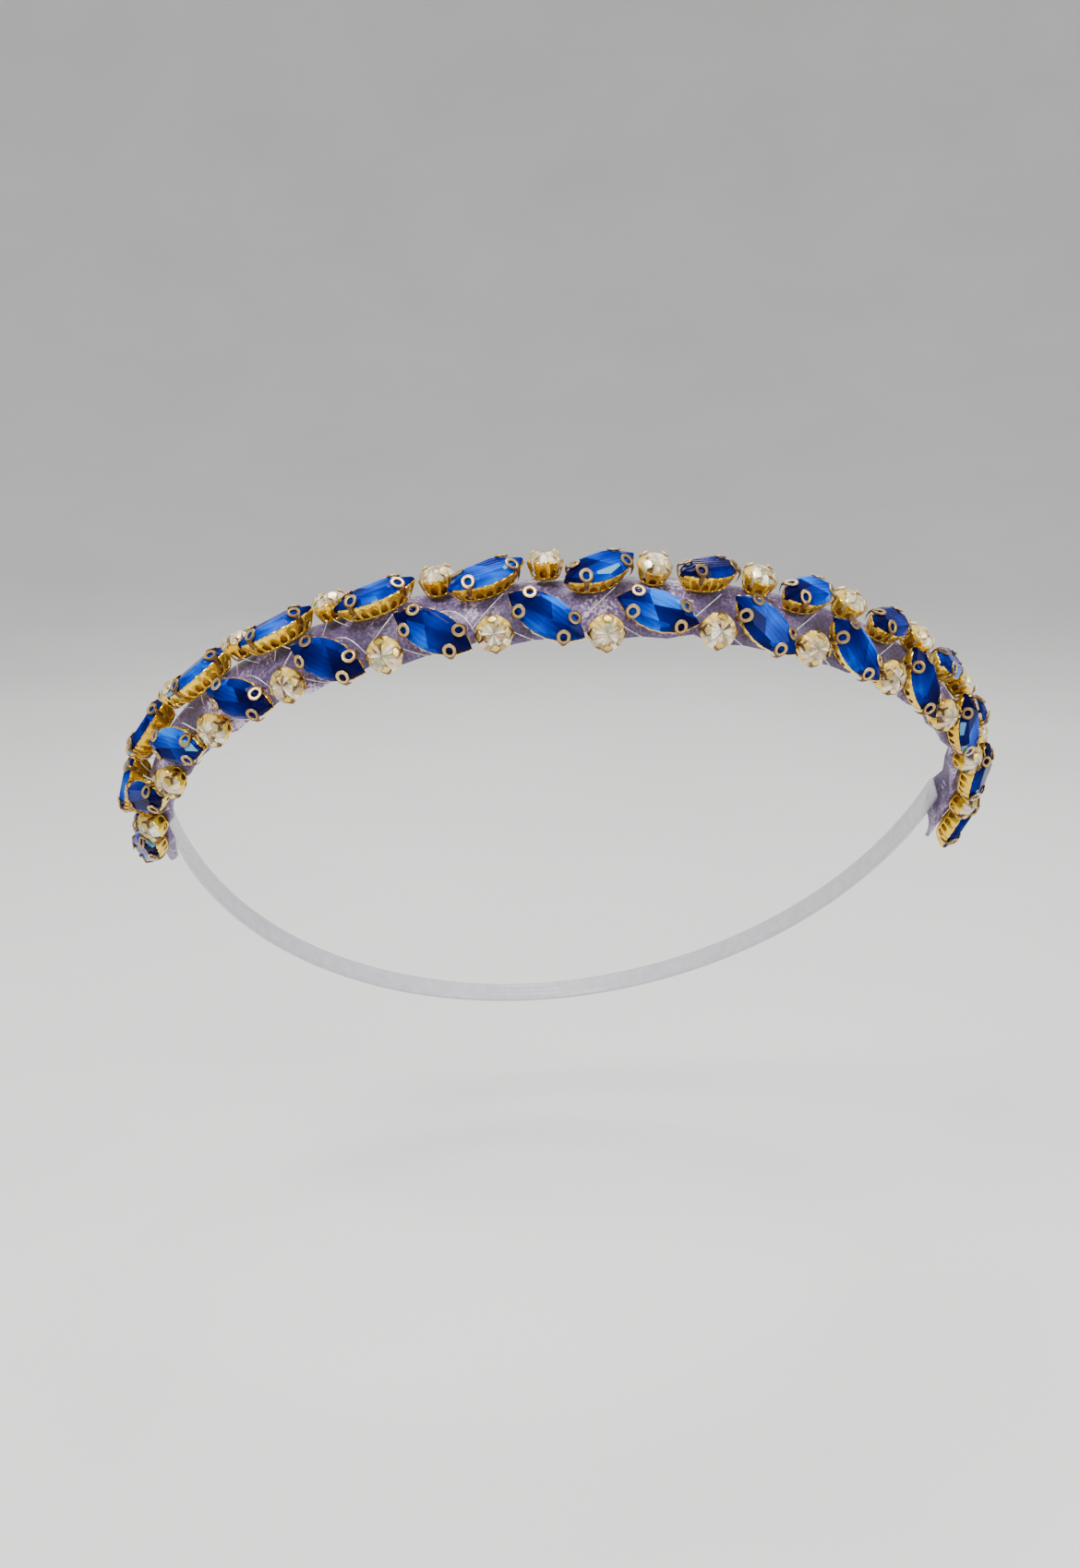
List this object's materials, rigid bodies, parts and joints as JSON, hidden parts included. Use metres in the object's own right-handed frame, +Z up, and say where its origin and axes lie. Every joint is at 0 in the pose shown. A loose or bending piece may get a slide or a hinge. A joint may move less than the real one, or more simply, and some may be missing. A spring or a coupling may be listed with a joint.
{
  "type": "rhinestone headband",
  "caption": "Stretch headband for stage wear: a clear film strip sewn with claw-set navette and round cut stones in a herringbone, closed behind the head by a clear elastic strap",
  "frame": {"origin": "inner face of the film at the middle of the front, where the band sits on the head", "axes": "+Z up and +Y towards the back of the head as worn, +X towards the wearer's left; the loop's plane rises 45 degrees from the nape to the hairline"},
  "size_m": [0.1841, 0.1421, 0.1398],
  "materials": {
    "sapphire_glass": "polished cut glass with a foiled back",
    "clear_crystal": "polished cut glass with a foiled back",
    "gilt_brass": "bright gilt stampings",
    "clear_film": "clear glossy film with a faint lilac cast",
    "clear_elastic": "clear silicone elastic, satin",
    "nylon_thread": "glossy monofilament"
  },
  "bodies": {
    "root": {"film_band": "clear_film", "elastic_strap": "clear_elastic", "navette_lower_01": "sapphire_glass", "navette_lower_02": "sapphire_glass", "navette_lower_03": "sapphire_glass", "navette_lower_04": "sapphire_glass", "navette_lower_05": "sapphire_glass", "navette_lower_06": "sapphire_glass", "navette_lower_07": "sapphire_glass", "navette_lower_08": "sapphire_glass", "navette_lower_09": "sapphire_glass", "navette_lower_10": "sapphire_glass", "navette_lower_11": "sapphire_glass", "navette_lower_12": "sapphire_glass", "navette_lower_13": "sapphire_glass", "navette_lower_14": "sapphire_glass", "navette_upper_01": "sapphire_glass", "navette_upper_02": "sapphire_glass", "navette_upper_03": "sapphire_glass", "navette_upper_04": "sapphire_glass", "navette_upper_05": "sapphire_glass", "navette_upper_06": "sapphire_glass", "navette_upper_07": "sapphire_glass", "navette_upper_08": "sapphire_glass", "navette_upper_09": "sapphire_glass", "navette_upper_10": "sapphire_glass", "navette_upper_11": "sapphire_glass", "navette_upper_12": "sapphire_glass", "navette_upper_13": "sapphire_glass", "navette_upper_14": "sapphire_glass", "navette_upper_15": "sapphire_glass", "crystal_lower_01": "clear_crystal", "crystal_lower_02": "clear_crystal", "crystal_lower_03": "clear_crystal", "crystal_lower_04": "clear_crystal", "crystal_lower_05": "clear_crystal", "crystal_lower_06": "clear_crystal", "crystal_lower_07": "clear_crystal", "crystal_lower_08": "clear_crystal", "crystal_lower_09": "clear_crystal", "crystal_lower_10": "clear_crystal", "crystal_lower_11": "clear_crystal", "crystal_lower_12": "clear_crystal", "crystal_lower_13": "clear_crystal", "crystal_upper_01": "clear_crystal", "crystal_upper_02": "clear_crystal", "crystal_upper_03": "clear_crystal", "crystal_upper_04": "clear_crystal", "crystal_upper_05": "clear_crystal", "crystal_upper_06": "clear_crystal", "crystal_upper_07": "clear_crystal", "crystal_upper_08": "clear_crystal", "crystal_upper_09": "clear_crystal", "crystal_upper_10": "clear_crystal", "crystal_upper_11": "clear_crystal", "crystal_upper_12": "clear_crystal", "crystal_upper_13": "clear_crystal", "crystal_upper_14": "clear_crystal"}
  },
  "joints": []
}
